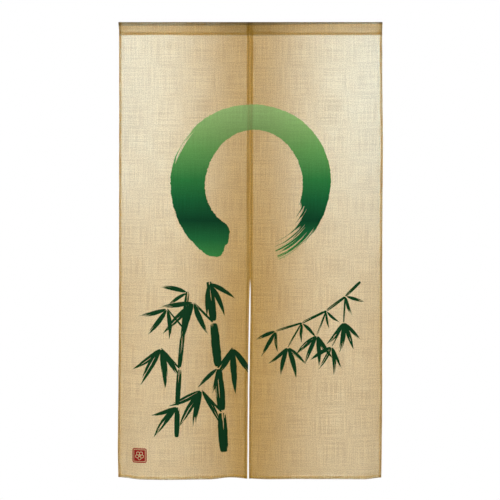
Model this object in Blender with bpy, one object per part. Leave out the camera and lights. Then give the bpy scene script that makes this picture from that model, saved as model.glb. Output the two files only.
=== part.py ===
"""A noren: a doorway curtain of two linen-weave panels, sewn together down to a slit, with a rod pocket on top.

Metres, +Z up. The origin is the middle of the rod's axis, inside the pocket. The curtain faces -Y, so a depth
towards the viewer is a negative Y. A drop is a distance down from the curtain's top edge.
"""

import bpy
import numpy as np

# Driving sizes
CURTAIN_HEIGHT = 1.475
CLOTH = 0.0012
HEM = 0.0020
SEWN_LAYERS = 0.0026
PIECE_GAP = 0.0003

# The rod pocket: a round top over the rod, two straight walls that meet at the row of stitches, and the
# sewn layers below it
POCKET_HEIGHT = 0.0420
POCKET_RADIUS = 0.0070
POCKET_TIP_RADIUS = 0.0008
SEWN_STRIP = 0.0095
POCKET_ARC_STEPS = 12
STRIP_CORNERS = 4
HEADING_STEPS = 26
HEADING_END_PART = 0.12

# How far the pocket's top reaches past the sewn strip at each end
LEFT_FLARE = 0.0014
RIGHT_FLARE = 0.0003

# The hems, as widths of the strip that is folded over
OUTER_HEM = 0.0075
LEFT_INNER_HEM = 0.0108
RIGHT_INNER_HEM = 0.0082
BOTTOM_HEM = 0.0100
FOLD_STEP = 0.0005

SLIT_TOP = 0.826
COLUMNS = 24
ROWS = 32

TOP = POCKET_RADIUS + CLOTH
STRIP_BOTTOM = TOP - POCKET_HEIGHT
STRIP_TOP = STRIP_BOTTOM + SEWN_STRIP

# How far across the cloth's edges stand: drop, outer edge of the left panel, line where the panels meet,
# outer edge of the right panel
EDGES = (
    (0.042, -0.4243, -0.0004, 0.4243),
    (0.200, -0.4240, -0.0006, 0.4250),
    (0.420, -0.4242, -0.0010, 0.4270),
    (0.600, -0.4244, -0.0014, 0.4253),
    (0.800, -0.4243, -0.0015, 0.4246),
    (0.906, -0.4246, -0.0020, 0.4245),
    (1.000, -0.4250, -0.0039, 0.4244),
    (1.120, -0.4262, -0.0055, 0.4244),
    (1.240, -0.4275, -0.0067, 0.4244),
    (1.400, -0.4296, -0.0078, 0.4239),
    (1.475, -0.4284, -0.0078, 0.4230),
)

# How wide the slit stands open: drop, width
SLIT = (
    (0.826, 0.0000),
    (0.860, 0.0030),
    (0.906, 0.0046),
    (1.000, 0.0050),
    (1.240, 0.0047),
    (1.400, 0.0049),
    (1.475, 0.0055),
)

# The soft folds of each panel: place across, half width, depth at the bottom hem, drop where it starts, lift of
# the bottom edge
LEFT_FOLDS = (
    (-0.428, 0.080, -0.0160, 1.050, 0.0042),
    (-0.270, 0.150, 0.0120, 0.250, 0.0000),
    (-0.062, 0.074, -0.0110, 0.450, 0.0042),
    (-0.012, 0.045, 0.0050, 0.830, 0.0010),
)
RIGHT_FOLDS = (
    (-0.004, 0.060, -0.0050, 0.830, 0.0012),
    (0.200, 0.205, 0.0090, 0.300, 0.0024),
    (0.426, 0.060, -0.0130, 1.150, 0.0030),
)


def clear_scene():
    for item in list(bpy.data.objects):
        bpy.data.objects.remove(item, do_unlink=True)


def cloth_material(name, colour):
    """Matt woven cloth of one colour, which is red, green and blue from 0 to 1."""
    material = bpy.data.materials.new(name)
    material.use_nodes = True
    shader = material.node_tree.nodes["Principled BSDF"]
    shader.inputs["Base Color"].default_value = (*colour, 1.0)
    shader.inputs["Roughness"].default_value = 0.9
    shader.inputs["Metallic"].default_value = 0.0
    return material


def panel_material():
    return cloth_material("panel_cloth", (0.64, 0.49, 0.31))


def heading_material():
    return cloth_material("heading_cloth", (0.50, 0.36, 0.19))


def curve_through(rows, column, places):
    """A smooth curve through a table's rows, by Hermite's cubic with each row's slope taken from its neighbours."""
    table = np.array(rows)
    stations, values = table[:, 0], table[:, column]
    slopes = np.gradient(values, stations)
    places = np.clip(places, stations[0], stations[-1])
    piece = np.clip(np.searchsorted(stations, places, side="right") - 1, 0, len(stations) - 2)
    length = stations[piece + 1] - stations[piece]
    t = (places - stations[piece]) / length
    return (
        values[piece] * (1 + 2 * t) * (1 - t) ** 2
        + values[piece + 1] * (3 - 2 * t) * t**2
        + slopes[piece] * length * t * (1 - t) ** 2
        - slopes[piece + 1] * length * t**2 * (1 - t)
    )


def bump(distance, half_width):
    """One soft swell: 1 at its middle, and 0 from its half width on."""
    t = np.clip(np.abs(distance) / half_width, 0, 1)
    return (1 + np.cos(np.pi * t)) / 2


def eased(share):
    """0 before 0, 1 after 1, and a smooth rise between them."""
    t = np.clip(share, 0, 1)
    return t * t * (3 - 2 * t)


def depth_of(folds, across, drop):
    """How far the cloth stands towards the viewer: each fold grows from where it starts down to the bottom hem."""
    depth = np.zeros_like(across)
    for place, half_width, reach, start, _ in folds:
        grown = eased((drop - start) / (CURTAIN_HEIGHT - start))
        depth += reach * grown * bump(across - place, half_width)
    return depth


def bottom_of(folds, across):
    """The drop of the bottom edge, which the folds lift a little."""
    drop = np.full_like(across, CURTAIN_HEIGHT)
    for place, half_width, _, _, lift in folds:
        drop -= lift * bump(across - place, half_width)
    return drop


def inner_edge(drop, side):
    """The line where the panels meet, moved half the gap or half the slit to the panel's own side."""
    width = np.where(drop > SLIT_TOP, curve_through(SLIT, 1, drop), 0.0)
    return curve_through(EDGES, 2, drop) + side * np.maximum(width, PIECE_GAP) / 2


def strip_marks(strip):
    """Distances from an edge that need a place: the edge and, where a strip is folded over, both sides of the step
    in the cloth's thickness."""
    return [0.0, strip, strip + FOLD_STEP] if strip else [0.0]


def places_between(start_strip, end_strip, count):
    """Places from one edge to the other, each as a share of the way and a distance in metres to add to it."""
    first = strip_marks(start_strip)
    middle = np.linspace(0, 1, count)[1:-1]
    last = [-mark for mark in reversed(strip_marks(end_strip))]
    shares = np.concatenate([np.zeros(len(first)), middle, np.ones(len(last))])
    offsets = np.concatenate([first, np.zeros(len(middle)), last])
    return shares, offsets


def grid_faces(rows, columns):
    """The quads of a grid of points counted row by row."""
    corner = np.arange(rows - 1)[:, None] * columns + np.arange(columns - 1)[None, :]
    corner = corner.reshape(-1)
    return np.stack([corner, corner + columns, corner + columns + 1, corner + 1], axis=1)


def new_object(name, points, faces, material):
    mesh = bpy.data.meshes.new(name)
    mesh.from_pydata(points.tolist(), [], faces.tolist())
    mesh.materials.append(material)
    mesh.shade_smooth()
    mesh.set_sharp_from_angle(angle=np.radians(40))
    item = bpy.data.objects.new(name, mesh)
    bpy.context.collection.objects.link(item)
    return item


def make_panel(name, side, folds, material):
    """One panel, as a front and a back surface joined at their rims. Side is -1 for the left one, 1 for the right."""
    top = POCKET_HEIGHT + PIECE_GAP
    down_share, down_offset = places_between(0.0, BOTTOM_HEM, ROWS)
    strips = (OUTER_HEM, LEFT_INNER_HEM) if side < 0 else (RIGHT_INNER_HEM, OUTER_HEM)
    across_share, across_offset = places_between(*strips, COLUMNS)

    level = top + down_share * (CURTAIN_HEIGHT - top) + down_offset
    outer = curve_through(EDGES, 1 if side < 0 else 3, level)
    inner = inner_edge(level, side)
    left, right = (outer, inner) if side < 0 else (inner, outer)
    across = left[:, None] + across_share * (right - left)[:, None] + across_offset

    drop = top + down_share[:, None] * (bottom_of(folds, across) - top) + down_offset[:, None]
    depth = depth_of(folds, across, drop)
    in_hem = np.zeros(across.shape, bool)
    in_hem[-2:, :] = True
    in_hem[:, :2] = True
    in_hem[:, -2:] = True
    thickness = np.where(in_hem, HEM, CLOTH)

    rows, columns = across.shape
    height = TOP - drop
    front = np.stack([across, -depth - CLOTH / 2, height], axis=-1).reshape(-1, 3)
    back = np.stack([across, -depth - CLOTH / 2 + thickness, height], axis=-1).reshape(-1, 3)
    front_faces = grid_faces(rows, columns)
    back_faces = front_faces[:, ::-1] + rows * columns

    index = np.arange(rows * columns).reshape(rows, columns)
    rim = np.concatenate([index[0, :], index[1:, -1], index[-1, -2::-1], index[-2:0:-1, 0]])
    following = np.roll(rim, -1)
    rim_faces = np.stack([rim, following, following + rows * columns, rim + rows * columns], axis=1)
    points = np.concatenate([front, back])
    return new_object(name, points, np.concatenate([front_faces, back_faces, rim_faces]), material)


def pocket_outline(wall):
    """The pocket's inside as depths and heights: over the rod from the back wall to the front wall, and round the
    narrow tip at the stitches. A thicker wall takes its room from the inside."""
    inside = TOP - wall
    tip = STRIP_TOP + SEWN_LAYERS
    lean = np.arcsin((inside - POCKET_TIP_RADIUS) / -tip)
    over = np.linspace(-lean, np.pi + lean, POCKET_ARC_STEPS)
    under = np.linspace(np.pi + lean, 2 * np.pi - lean, STRIP_CORNERS)
    round_top = np.stack([np.cos(over), np.sin(over)], axis=1) * inside
    round_tip = np.stack([np.cos(under), np.sin(under)], axis=1) * POCKET_TIP_RADIUS + (0.0, tip)
    return np.concatenate([round_top, round_tip])


def heading_outline():
    """The heading's outside, with a point for each of the pocket's inside: the four corners of the sewn strip go
    with the four points of the tip."""
    lean = np.arcsin((TOP - SEWN_LAYERS / 2) / -STRIP_TOP)
    over = np.linspace(-lean, np.pi + lean, POCKET_ARC_STEPS)
    round_top = np.stack([np.cos(over), np.sin(over)], axis=1) * TOP
    half = SEWN_LAYERS / 2
    strip = [(-half, STRIP_TOP), (-half, STRIP_BOTTOM), (half, STRIP_BOTTOM), (half, STRIP_TOP)]
    return np.concatenate([round_top, strip])


def make_heading(material):
    """The folded top of the cloth: a tube whose walls are thicker where the hems run up through it."""
    left, join, right = EDGES[0][1:]
    hems = (
        (left, left + OUTER_HEM),
        (join - LEFT_INNER_HEM, join + RIGHT_INNER_HEM),
        (right - OUTER_HEM, right),
    )
    places = np.linspace(left, right, HEADING_STEPS)
    folds = [edge + shift for hem in hems for edge, shift in zip(hem, (-FOLD_STEP, FOLD_STEP))]
    places = np.concatenate([places, np.array(hems).reshape(-1), folds])
    places = np.unique(places[(places >= left) & (places <= right)])

    outline = heading_outline()
    rise = eased((outline[:, 1] - STRIP_TOP) / (TOP - STRIP_TOP))
    outer_rings, inner_rings = [], []
    for place in places:
        in_hem = any(low - FOLD_STEP / 2 <= place <= high + FOLD_STEP / 2 for low, high in hems)
        inside = pocket_outline(HEM if in_hem else CLOTH)
        left_shift = LEFT_FLARE * eased((left + HEADING_END_PART - place) / HEADING_END_PART)
        right_shift = RIGHT_FLARE * eased((place - right + HEADING_END_PART) / HEADING_END_PART)
        widened = place + rise * (right_shift - left_shift)
        outer_rings.append(np.column_stack([widened, outline]))
        inner_rings.append(np.column_stack([widened, inside]))

    rings, around = len(places), len(outline)
    points = np.concatenate([*outer_rings, *inner_rings])
    ring, step = np.meshgrid(np.arange(rings - 1), np.arange(around), indexing="ij")
    here = (ring * around + step).reshape(-1)
    beside = (ring * around + (step + 1) % around).reshape(-1)
    outer_faces = np.stack([here, beside, beside + around, here + around], axis=1)
    inner_faces = outer_faces[:, ::-1] + rings * around
    start = np.arange(around)
    after = (start + 1) % around
    inner_start = start + rings * around
    inner_after = after + rings * around
    left_end = np.stack([start, inner_start, inner_after, after], axis=1)
    right_end = left_end[:, ::-1] + (rings - 1) * around
    faces = np.concatenate([outer_faces, inner_faces, left_end, right_end])
    return new_object("heading", points, faces, material)


clear_scene()
panel_cloth = panel_material()
make_panel("panel_left", -1, LEFT_FOLDS, panel_cloth)
make_panel("panel_right", 1, RIGHT_FOLDS, panel_cloth)
make_heading(heading_material())
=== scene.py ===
"""A noren, a doorway curtain: two linen-weave cloths, joined down to a slit and hung by their rod pocket.

Metres, +Z up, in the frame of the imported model. The origin is the middle of the rod's axis inside the
pocket, and the curtain faces -Y. A drop is a distance down from the curtain's top edge. A side is -1 for
the left cloth and 1 for the right one.
"""

import bpy
import numpy as np
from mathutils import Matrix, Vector


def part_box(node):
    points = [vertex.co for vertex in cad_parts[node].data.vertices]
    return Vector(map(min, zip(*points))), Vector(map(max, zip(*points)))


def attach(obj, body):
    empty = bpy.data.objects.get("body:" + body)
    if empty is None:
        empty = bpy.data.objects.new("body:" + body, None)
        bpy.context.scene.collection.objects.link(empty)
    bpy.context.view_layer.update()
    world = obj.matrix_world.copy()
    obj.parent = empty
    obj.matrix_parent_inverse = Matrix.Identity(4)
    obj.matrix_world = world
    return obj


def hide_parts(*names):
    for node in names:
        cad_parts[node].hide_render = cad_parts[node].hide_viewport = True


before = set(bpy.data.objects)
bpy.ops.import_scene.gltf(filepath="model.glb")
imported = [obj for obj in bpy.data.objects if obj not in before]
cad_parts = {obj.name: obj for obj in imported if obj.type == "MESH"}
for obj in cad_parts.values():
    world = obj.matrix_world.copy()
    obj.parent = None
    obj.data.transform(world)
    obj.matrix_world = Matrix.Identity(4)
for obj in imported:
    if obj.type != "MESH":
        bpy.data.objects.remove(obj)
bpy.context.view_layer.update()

# The two cloths
# Each is one cut of plain-weave, linen-look cloth. Its sides and bottom are folded twice to the back and
# sewn. Its top goes over the rod, is turned under at the back and sewn, and so makes half of the pocket.

CURTAIN_HEIGHT = 1.475
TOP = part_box("heading")[1].z
STRIP_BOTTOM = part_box("heading")[0].z
POCKET_HEIGHT = TOP - STRIP_BOTTOM
SEWN_STRIP = 0.0095
STRIP_TOP = STRIP_BOTTOM + SEWN_STRIP
SLIT_TOP = 0.826
SEAM_GAP = 0.0003

# The cloth itself, and the distance from one layer to the next where it is folded
CLOTH_FRONT = -0.0006
CLOTH_THICKNESS = 0.00040
LAYER_PITCH = 0.00044

# The hems: widths of the strips, how much of the raw edge is tucked in, and how far in from a strip's inner
# edge its row of stitches runs
OUTER_HEM = 0.0075
INNER_HEMS = {-1: 0.0108, 1: 0.0082}
SIDE_HEMS = {-1: (OUTER_HEM, INNER_HEMS[-1]), 1: (INNER_HEMS[1], OUTER_HEM)}
BOTTOM_HEM = 0.0100
TUCK = 0.0046
HEM_ROW = 0.0042

# How far the raw edge stays under the strip's top, and over what width a side hem's layers thin to one
RAW_EDGE_LOW = 0.001
STACK_FADE = 0.004

# How far the pocket's top reaches past the sewn strip at each cloth's outer end, and how wide that end is
END_FLARES = {-1: 0.0014, 1: 0.0003}
END_WIDTH = 0.12

# Places along the cloth: rows and columns of its flat part, and steps round each fold
MAIN_ROWS = 300
MAIN_COLUMNS = 96
TURN_STEPS = 5
STRIP_STEPS = 5
TUCK_STEPS = 4
WALL_STEPS = 8
POCKET_STEPS = 15

# How far across the cloths' edges stand: drop, outer edge at the left, line where the cloths meet, outer
# edge at the right. Then the column of each cloth's outer edge.
EDGES = (
    (0.042, -0.4243, -0.0004, 0.4243),
    (0.200, -0.4240, -0.0006, 0.4250),
    (0.420, -0.4242, -0.0010, 0.4270),
    (0.600, -0.4244, -0.0014, 0.4253),
    (0.800, -0.4243, -0.0015, 0.4246),
    (0.906, -0.4246, -0.0020, 0.4245),
    (1.000, -0.4250, -0.0039, 0.4244),
    (1.120, -0.4262, -0.0055, 0.4244),
    (1.240, -0.4275, -0.0067, 0.4244),
    (1.400, -0.4296, -0.0078, 0.4239),
    (1.475, -0.4284, -0.0078, 0.4230),
)
OUTER_COLUMNS = {-1: 1, 1: 3}

# How wide the slit stands open: drop, width
SLIT = (
    (0.826, 0.0000),
    (0.860, 0.0030),
    (0.906, 0.0046),
    (1.000, 0.0050),
    (1.240, 0.0047),
    (1.400, 0.0049),
    (1.475, 0.0055),
)

# The soft folds of each cloth: place across, half width, depth at the bottom hem, drop where it starts, and
# how far it lifts the bottom edge
FOLDS = {
    -1: (
        (-0.428, 0.080, -0.0160, 1.050, 0.0042),
        (-0.270, 0.150, 0.0120, 0.250, 0.0000),
        (-0.062, 0.074, -0.0110, 0.450, 0.0042),
        (-0.012, 0.045, 0.0050, 0.830, 0.0010),
    ),
    1: (
        (-0.004, 0.060, -0.0050, 0.830, 0.0012),
        (0.200, 0.205, 0.0090, 0.300, 0.0024),
        (0.426, 0.060, -0.0130, 1.150, 0.0030),
    ),
}

# The ripples that sewing draws into the cloth: their depth, how soon they fade, and their lengths over 2 pi
PUCKER_DEPTH = 0.00022
PUCKER_FADE = 0.012
PUCKER_LENGTHS = (0.0037, 0.0061, 0.0105)

# Over what length under the heading folds and ripples get free, and what share of them is free at once
FREED_OVER = 0.03
FREE_AT_ONCE = 0.02

# How far an edge strays, and the sines it follows: height, length over 2 pi, and share of the line's shift
EDGE_WANDER = 0.00030
WANDER_SINES = ((1.0, 0.021, 1.0), (0.8, 0.047, 2.1), (0.6, 0.0113, 3.7))


def curve_through(rows, column, places):
    """A smooth curve through a table's rows: Hermite's cubic, each row's slope taken from its
    neighbours."""
    table = np.array(rows)
    stations, values = table[:, 0], table[:, column]
    slopes = np.gradient(values, stations)
    places = np.clip(places, stations[0], stations[-1])
    piece = np.clip(np.searchsorted(stations, places, side="right") - 1, 0, len(stations) - 2)
    length = stations[piece + 1] - stations[piece]
    t = (places - stations[piece]) / length
    return (
        values[piece] * (1 + 2 * t) * (1 - t) ** 2
        + values[piece + 1] * (3 - 2 * t) * t**2
        + slopes[piece] * length * t * (1 - t) ** 2
        - slopes[piece + 1] * length * t**2 * (1 - t)
    )


def bump(distance, half_width):
    """One soft swell: 1 at its middle, and 0 from its half width on, as a raised cosine."""
    t = np.clip(np.abs(distance) / half_width, 0, 1)
    return (1 + np.cos(np.pi * t)) / 2


def eased(share):
    """0 before 0, 1 after 1, and a smooth rise between them, 3t squared less 2t cubed."""
    t = np.clip(share, 0, 1)
    return t * t * (3 - 2 * t)


def wander(along, seed):
    """An uneven line, from -1 to 1: a few sines along it, whose lengths have no common measure."""
    line = sum(height * np.sin(along / length + shift * seed) for height, length, shift in WANDER_SINES)
    return line / sum(height for height, _, _ in WANDER_SINES)


def edges_at(side, drop):
    """The left and right edge of one cloth, curves that stray a little. Below the slit's top the inner edge
    moves half the slit to its own side."""
    outer = curve_through(EDGES, OUTER_COLUMNS[side], drop) + EDGE_WANDER * wander(drop, 2.0 + side)
    width = np.where(drop > SLIT_TOP, curve_through(SLIT, 1, drop), 0.0)
    meeting = curve_through(EDGES, 2, drop) + EDGE_WANDER * wander(drop, 5.0)
    inner = meeting + side * np.maximum(width, SEAM_GAP) / 2
    return (outer, inner) if side < 0 else (inner, outer)


def depth_at(side, across, drop):
    """How far the cloth stands towards the viewer: its folds, which grow down to the bottom hem, and the
    ripples beside its sewn edges, which are sines along each edge that fade away from it."""
    depth = np.zeros(np.broadcast(across, drop).shape)
    for place, half_width, reach, start, _ in FOLDS[side]:
        grown = eased((drop - start) / (CURTAIN_HEIGHT - start))
        depth += reach * grown * bump(across - place, half_width)
    left, right = edges_at(side, drop)
    ways_in = (
        (across - left, drop, 1.0),
        (right - across, drop, 4.0),
        (CURTAIN_HEIGHT - drop, across, 2.5),
        (drop - POCKET_HEIGHT, across, 6.0),
    )
    for inward, along, shift in ways_in:
        ripple = sum(np.sin(along / length + shift * (3 + side)) for length in PUCKER_LENGTHS)
        depth += PUCKER_DEPTH * ripple * np.exp(-np.maximum(inward - BOTTOM_HEM, 0) / PUCKER_FADE)
    return depth * eased((drop - POCKET_HEIGHT) / FREED_OVER + FREE_AT_ONCE)


def bottom_at(side, across):
    """The drop of the bottom edge, which the folds lift a little."""
    drop = CURTAIN_HEIGHT + EDGE_WANDER * wander(across, 3.0 + side)
    for place, half_width, _, _, lift in FOLDS[side]:
        drop = drop - lift * bump(across - place, half_width)
    return drop


def folded_hem(width, stack, inner):
    """A hem folded twice to the back, from the edge round to the raw edge: distances in from the edge, and
    back.

    Two half circles join the cloth's own layer, the strip on the back and the raw edge tucked in between.
    What is folded is a stack thick, and a layer that lies inner further in turns on a circle that much
    smaller."""
    edge_radius = (3 * stack - LAYER_PITCH) / 2
    tuck_radius = stack - LAYER_PITCH / 2
    tuck_centre = width - tuck_radius
    turn = np.linspace(-np.pi / 2, np.pi / 2, TURN_STEPS)[:, None]
    strip = np.linspace(0, 1, STRIP_STEPS)[1:-1, None]
    tucked = np.linspace(0, 1, TUCK_STEPS)[1:, None]
    level = 0 * inner
    inward = (
        edge_radius - (edge_radius - inner) * np.cos(turn),
        edge_radius + strip * (tuck_centre - edge_radius) + level,
        tuck_centre + (tuck_radius - inner) * np.cos(turn),
        tuck_centre - tucked * TUCK + level,
    )
    back = (
        edge_radius + (edge_radius - inner) * np.sin(turn),
        2 * edge_radius - inner + 0 * strip,
        2 * edge_radius - tuck_radius - (tuck_radius - inner) * np.sin(turn),
        stack + inner + 0 * tucked,
    )
    return np.concatenate(inward), np.concatenate(back)


def pocket(stack, inner):
    """The heading, from the raw edge in the sewn strip to the bottom of the strip in front: heights, and
    distances back. The cloth turns round a half circle at the strip's bottom, rises, and runs over a large
    arc round the rod's axis, which its two straight walls touch."""
    tuck_radius = stack - LAYER_PITCH / 2
    back_layer = 3 * stack - LAYER_PITCH
    axis = -CLOTH_FRONT - CLOTH_THICKNESS / 2
    radius = TOP - CLOTH_THICKNESS / 2
    level = 0 * inner

    def touching(foot, way):
        """The angle at which a wall from the strip's top touches the arc: its foot's, and an arc cosine."""
        reach = np.hypot(foot - axis, STRIP_TOP)
        return np.arctan2(STRIP_TOP, foot - axis) + way * np.arccos(radius / reach)

    first = touching(back_layer, 1)
    last = touching(level, -1) + 2 * np.pi
    down = np.linspace(0, 1, TUCK_STEPS)[:-1, None]
    turn = np.linspace(-np.pi / 2, np.pi / 2, TURN_STEPS)[:, None]
    wall = np.linspace(0, 1, WALL_STEPS)[:-1, None]
    over = first + np.linspace(0, 1, POCKET_STEPS)[:, None] * (last - first)
    arc_height = (radius - inner) * np.sin(over)
    arc_back = axis + (radius - inner) * np.cos(over)
    foot = STRIP_BOTTOM + tuck_radius
    raw_edge = STRIP_TOP - RAW_EDGE_LOW
    heights = (
        raw_edge + down * (foot - raw_edge) + level,
        foot - (tuck_radius - inner) * np.cos(turn),
        foot + down[1:] * (STRIP_TOP - foot) + level,
        STRIP_TOP + wall * (arc_height[0] - STRIP_TOP),
        arc_height,
        arc_height[-1] + wall[1:] * (STRIP_TOP - arc_height[-1]),
        STRIP_TOP + down * (STRIP_BOTTOM - STRIP_TOP) + level,
    )
    backs = (
        stack + inner + 0 * down,
        (back_layer + stack) / 2 + (tuck_radius - inner) * np.sin(turn),
        back_layer - inner + 0 * down[1:],
        back_layer - inner + wall * (arc_back[0] - back_layer + inner),
        arc_back,
        arc_back[-1] + wall[1:] * (inner - arc_back[-1]),
        inner + 0 * down,
    )
    return np.concatenate(heights), np.concatenate(backs)


def cloth_surface(side, offset):
    """One face of a cloth, offset from its middle: a grid of points, rows from the heading's raw edge to
    the bottom hem's and columns from side to side. The side hems are folded first, and the heading and the
    bottom hem fold what lies there. Also gives the rows and columns between which the cloth's own front
    lies."""
    strips = SIDE_HEMS[side]
    single = np.array([offset])
    hems = [[part[:, 0] for part in folded_hem(strip, LAYER_PITCH, single)] for strip in strips]
    (left_in, left_back), (right_in, right_back) = hems
    middle = np.linspace(0, 1, MAIN_COLUMNS)[1:-1]
    share = np.concatenate([0 * left_in, middle, 0 * right_in + 1])
    shift = np.concatenate([left_in[::-1], LAYER_PITCH * (1 - 2 * middle), -right_in])
    inner = np.concatenate([left_back[::-1], 0 * middle + offset, right_back])

    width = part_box("heading")[1].x
    from_left = share * width + shift
    from_right = width - from_left
    sewn_left = eased((strips[0] + STACK_FADE - from_left) / STACK_FADE)
    sewn_right = eased((strips[1] + STACK_FADE - from_right) / STACK_FADE)
    stack = LAYER_PITCH * (1 + 2 * np.clip(sewn_left + sewn_right, 0, 1))

    heights, heading_back = pocket(stack, inner)
    hem_in, hem_back = folded_hem(BOTTOM_HEM, stack, inner)
    edge_radius = (3 * stack - LAYER_PITCH) / 2
    down = np.linspace(0, 1, MAIN_ROWS)[:-1]
    nominal_hem = hem_in[:, len(share) // 2]
    main_level = POCKET_HEIGHT + down * (CURTAIN_HEIGHT - LAYER_PITCH - POCKET_HEIGHT)
    levels = np.concatenate([0 * heights[:, 0] + POCKET_HEIGHT, main_level, CURTAIN_HEIGHT - nominal_hem])
    left, right = edges_at(side, levels)
    across = left[:, None] + share * (right - left)[:, None] + shift

    pocket_rows = len(heights)
    rise = eased((heights - STRIP_TOP) / (TOP - STRIP_TOP))
    outermost = curve_through(EDGES, OUTER_COLUMNS[side], POCKET_HEIGHT)
    near_end = eased((END_WIDTH - np.abs(across[:pocket_rows] - outermost)) / END_WIDTH)
    across[:pocket_rows] += side * END_FLARES[side] * rise * near_end

    flat = across[pocket_rows : pocket_rows + len(down)]
    hem = across[pocket_rows + len(down) :]
    flat_drop = POCKET_HEIGHT + down[:, None] * (bottom_at(side, flat) - edge_radius - POCKET_HEIGHT)
    hem_drop = bottom_at(side, hem) - hem_in
    drop = np.concatenate([TOP - heights, flat_drop, hem_drop])
    back = np.concatenate([heading_back, inner + 0 * flat, hem_back])
    depth = depth_at(side, across, np.concatenate([0 * heights, flat_drop, hem_drop]))
    forward = CLOTH_FRONT + CLOTH_THICKNESS / 2 + back - depth
    points = np.stack([across, forward, TOP - drop], axis=-1)
    rows = (pocket_rows, pocket_rows + len(down) + TURN_STEPS)
    columns = (len(left_in) - TURN_STEPS, len(share) - len(right_in) + TURN_STEPS)
    return points, (rows, columns)


def grid_faces(rows, columns):
    """The quads of a grid of points counted row by row."""
    corner = np.arange(rows - 1)[:, None] * columns + np.arange(columns - 1)[None, :]
    corner = corner.reshape(-1)
    return np.stack([corner, corner + columns, corner + columns + 1, corner + 1], axis=1)


def new_piece(name, points, faces, material):
    """A smooth-shaded mesh object at the origin, from an array of points and an array of faces."""
    mesh = bpy.data.meshes.new(name)
    mesh.from_pydata(points.tolist(), [], faces.tolist())
    mesh.materials.append(material)
    mesh.shade_smooth()
    piece = bpy.data.objects.new(name, mesh)
    bpy.context.collection.objects.link(piece)
    return piece


def give(piece, name, domain, values):
    """Writes one number or one vector for each point or corner of a piece, for its material to read."""
    kind, field = ("FLOAT", "value") if values.ndim == 1 else ("FLOAT_VECTOR", "vector")
    attribute = piece.data.attributes.new(name, kind, domain)
    attribute.data.foreach_set(field, values.astype(np.float32).reshape(-1))


# The print
# Dye on the front of the cloth, some of which strikes through to the back. A brushed ring stands over the
# slit, a spray of bamboo is on each cloth below it, and a small red stamp with a plum blossom sits in the
# lower left.

RING_CENTRE = (0.0035, 0.5165)
RING_RADIUS = 0.2110
RING_HALF_WIDTH = 0.0512
RING_START = np.radians(112)
RING_END = np.radians(431)
STAMP_CENTRE = (-0.3580, 1.3980)
STAMP_HALF = 0.0235
NO_INK = 9.0

# Bamboo stems: start across and drop, end across and drop, half width
LEFT_STEMS = (
    (-0.086, 1.388, -0.093, 1.262, 0.0155),
    (-0.093, 1.253, -0.104, 1.120, 0.0150),
    (-0.105, 1.111, -0.119, 0.972, 0.0145),
    (-0.120, 0.964, -0.134, 0.838, 0.0135),
    (-0.238, 1.338, -0.236, 1.242, 0.0088),
    (-0.236, 1.235, -0.229, 1.120, 0.0084),
    (-0.229, 1.113, -0.217, 0.990, 0.0080),
    (-0.217, 0.983, -0.203, 0.870, 0.0074),
    (-0.122, 0.968, -0.184, 0.905, 0.0038),
    (-0.106, 1.116, -0.058, 1.052, 0.0038),
    (-0.094, 1.258, -0.158, 1.188, 0.0038),
    (-0.229, 1.117, -0.288, 1.052, 0.0034),
    (-0.217, 0.987, -0.268, 0.925, 0.0032),
)
RIGHT_STEMS = (
    (0.354, 0.838, 0.306, 0.884, 0.0050),
    (0.304, 0.887, 0.246, 0.930, 0.0047),
    (0.243, 0.932, 0.166, 0.970, 0.0043),
    (0.163, 0.971, 0.082, 0.996, 0.0038),
    (0.305, 0.886, 0.300, 0.968, 0.0030),
    (0.244, 0.931, 0.214, 1.010, 0.0030),
    (0.165, 0.970, 0.120, 1.048, 0.0028),
    (0.302, 0.970, 0.262, 1.046, 0.0026),
)

# Sprays of bamboo leaves: foot across and drop, middle direction in degrees from across to down, spread to
# each side, length of a leaf, number of leaves
LEFT_SPRAYS = (
    (-0.184, 0.905, 118, 50, 0.156, 4),
    (-0.134, 0.842, 60, 34, 0.124, 3),
    (-0.058, 1.052, 92, 34, 0.140, 3),
    (-0.158, 1.188, 112, 46, 0.154, 4),
    (-0.288, 1.052, 104, 44, 0.142, 4),
    (-0.268, 0.925, 122, 40, 0.118, 3),
    (-0.106, 1.116, 118, 16, 0.118, 2),
    (-0.203, 0.872, 168, 22, 0.108, 2),
    (-0.236, 1.240, 124, 34, 0.118, 3),
)
RIGHT_SPRAYS = (
    (0.300, 0.968, 84, 40, 0.104, 4),
    (0.214, 1.010, 96, 42, 0.108, 4),
    (0.120, 1.048, 92, 44, 0.104, 4),
    (0.082, 0.996, 122, 36, 0.090, 3),
    (0.262, 1.046, 104, 40, 0.098, 4),
    (0.306, 0.884, 48, 26, 0.084, 2),
    (0.166, 0.970, 70, 20, 0.080, 2),
    (0.243, 0.932, 58, 18, 0.076, 2),
)

# The leaves: half width and bend as shares of the length, how much shorter the outer ones are, how far they
# stray in degrees and vary in length and width, and the gap at the foot
LEAF_SLIMNESS = 0.116
LEAF_BEND = 0.055
OUTER_SHORTENING = 0.22
FAN_STRAY = 6
LEAF_LENGTHS = (0.88, 1.08)
LEAF_WIDTHS = (0.85, 1.12)
FOOT_GAP = 0.004

# The powers and scale of a leaf's outline, the power of a stem's ends, a stem's mark, and the attributes of
# the three nearest strokes
LEAF_RISE = 0.62
LEAF_FALL = 0.95
LEAF_SCALE = 2.02
STEM_ROUNDING = 0.16
STEM_MARK = 2.0
STROKE_NAMES = ("stroke_a", "stroke_b", "stroke_c")

# How the ring's middle line and half width stray: height, number of waves in a turn, and shift
RADIUS_WAVES = ((0.0050, 1, 0.4), (-0.0035, 2, 1.0))
WIDTH_WAVES = ((0.0085, 1, np.pi / 2 - 2.2), (-0.0030, 3, 0.0))

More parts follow.
